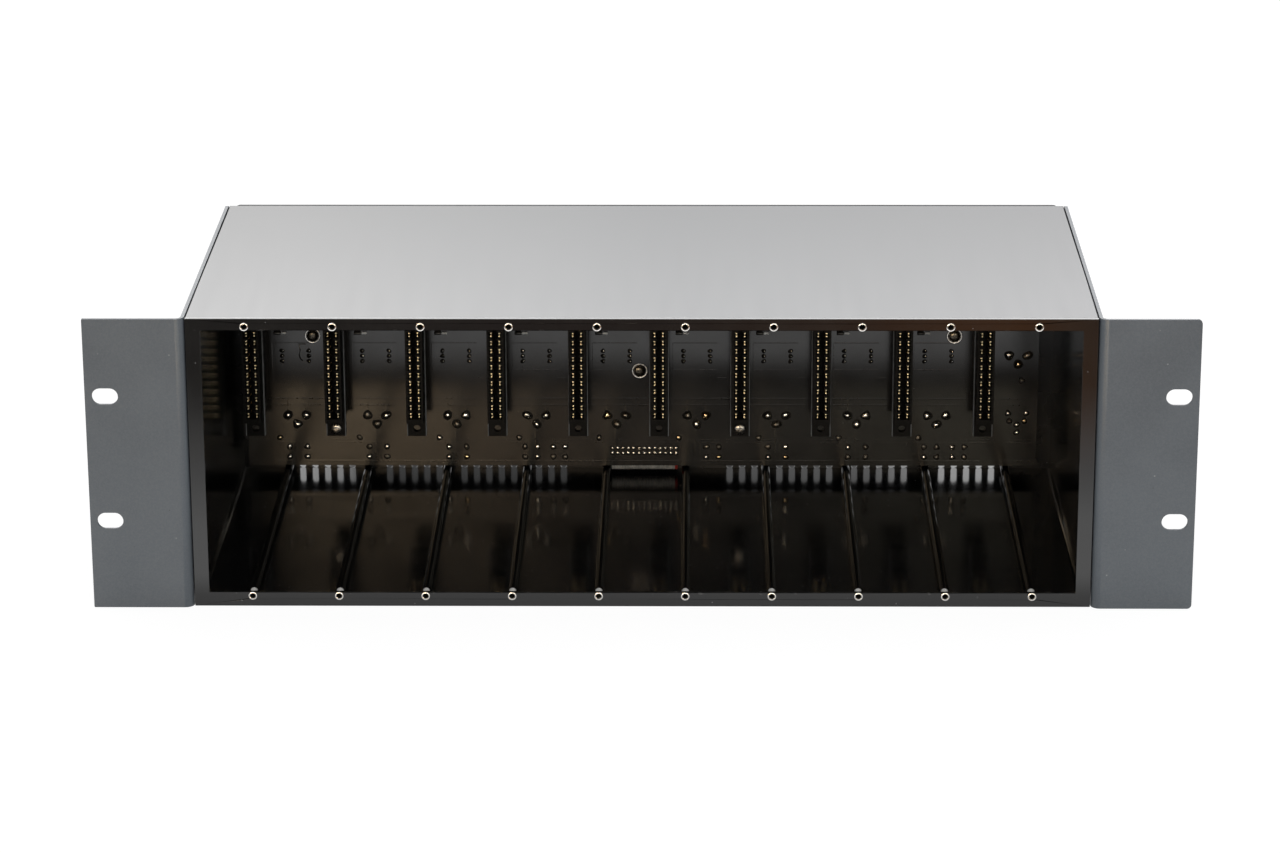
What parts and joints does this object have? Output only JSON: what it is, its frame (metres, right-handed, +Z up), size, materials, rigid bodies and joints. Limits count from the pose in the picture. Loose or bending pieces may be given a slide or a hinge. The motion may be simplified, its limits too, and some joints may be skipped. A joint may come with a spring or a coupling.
{
  "type": "audio module rack",
  "caption": "Rack-width chassis with slotted ears and an open front bay, where plug-in audio modules slide onto card-edge connectors of a backplane, with cable sockets at the back.",
  "frame": {"origin": "middle of the base, under the middle of the overall width and depth", "axes": "+X to the right seen from the front, +Y from the front to the back, +Z up"},
  "size_m": [0.4826, 0.194, 0.1326],
  "materials": {
    "black_paint": "gloss black paint on folded steel sheet",
    "slate_paint": "fine-textured satin slate paint on folded sheet",
    "black_rod": "smooth gloss black coating",
    "board_mask": "dark brown solder mask, glossy",
    "connector_black": "moulded black plastic",
    "socket_black": "moulded black plastic",
    "gold_plate": "thin gold plating",
    "nickel_plate": "bright nickel plating",
    "dark_steel": "blackened steel",
    "solder_tin": "bright solder",
    "cable_grey": "grey vinyl with a red edge wire"
  },
  "bodies": {
    "root": {"front_frame": "black_paint", "top_cover": "black_paint", "bottom_tray": "black_paint", "left_side_panel": "slate_paint", "right_side_panel": "slate_paint", "rear_panel": "black_paint", "backplane_board": "board_mask", "edge_contacts": "gold_plate", "bottom_tie_rods": "black_rod", "top_tie_rods": "black_rod", "bottom_inserts": "nickel_plate", "top_inserts": "nickel_plate", "rod_screws": "nickel_plate", "side_screws": "dark_steel", "board_screws": "dark_steel", "board_washers": "nickel_plate", "board_standoffs": "nickel_plate", "connector_screws": "nickel_plate", "connector_spacers": "connector_black", "solder_joints": "solder_tin", "board_parts": "connector_black", "ribbon_cable": "cable_grey", "ribbon_connector": "connector_black", "multiway_socket": "nickel_plate", "jack_posts": "nickel_plate", "power_inlet": "socket_black", "output_pins": "gold_plate", "input_contacts": "gold_plate", "socket_screws": "nickel_plate", "edge_connector_1": "connector_black", "edge_connector_2": "connector_black", "edge_connector_3": "connector_black", "edge_connector_4": "connector_black", "edge_connector_5": "connector_black", "edge_connector_6": "connector_black", "edge_connector_7": "connector_black", "edge_connector_8": "connector_black", "edge_connector_9": "connector_black", "edge_connector_10": "connector_black", "output_socket_1": "socket_black", "output_socket_2": "socket_black", "output_socket_3": "socket_black", "output_socket_4": "socket_black", "output_socket_5": "socket_black", "output_socket_6": "socket_black", "output_socket_7": "socket_black", "output_socket_8": "socket_black", "output_socket_9": "socket_black", "output_socket_10": "socket_black", "input_socket_1": "socket_black", "input_socket_2": "socket_black", "input_socket_3": "socket_black", "input_socket_4": "socket_black", "input_socket_5": "socket_black", "input_socket_6": "socket_black", "input_socket_7": "socket_black", "input_socket_8": "socket_black", "input_socket_9": "socket_black", "input_socket_10": "socket_black"}
  },
  "joints": []
}
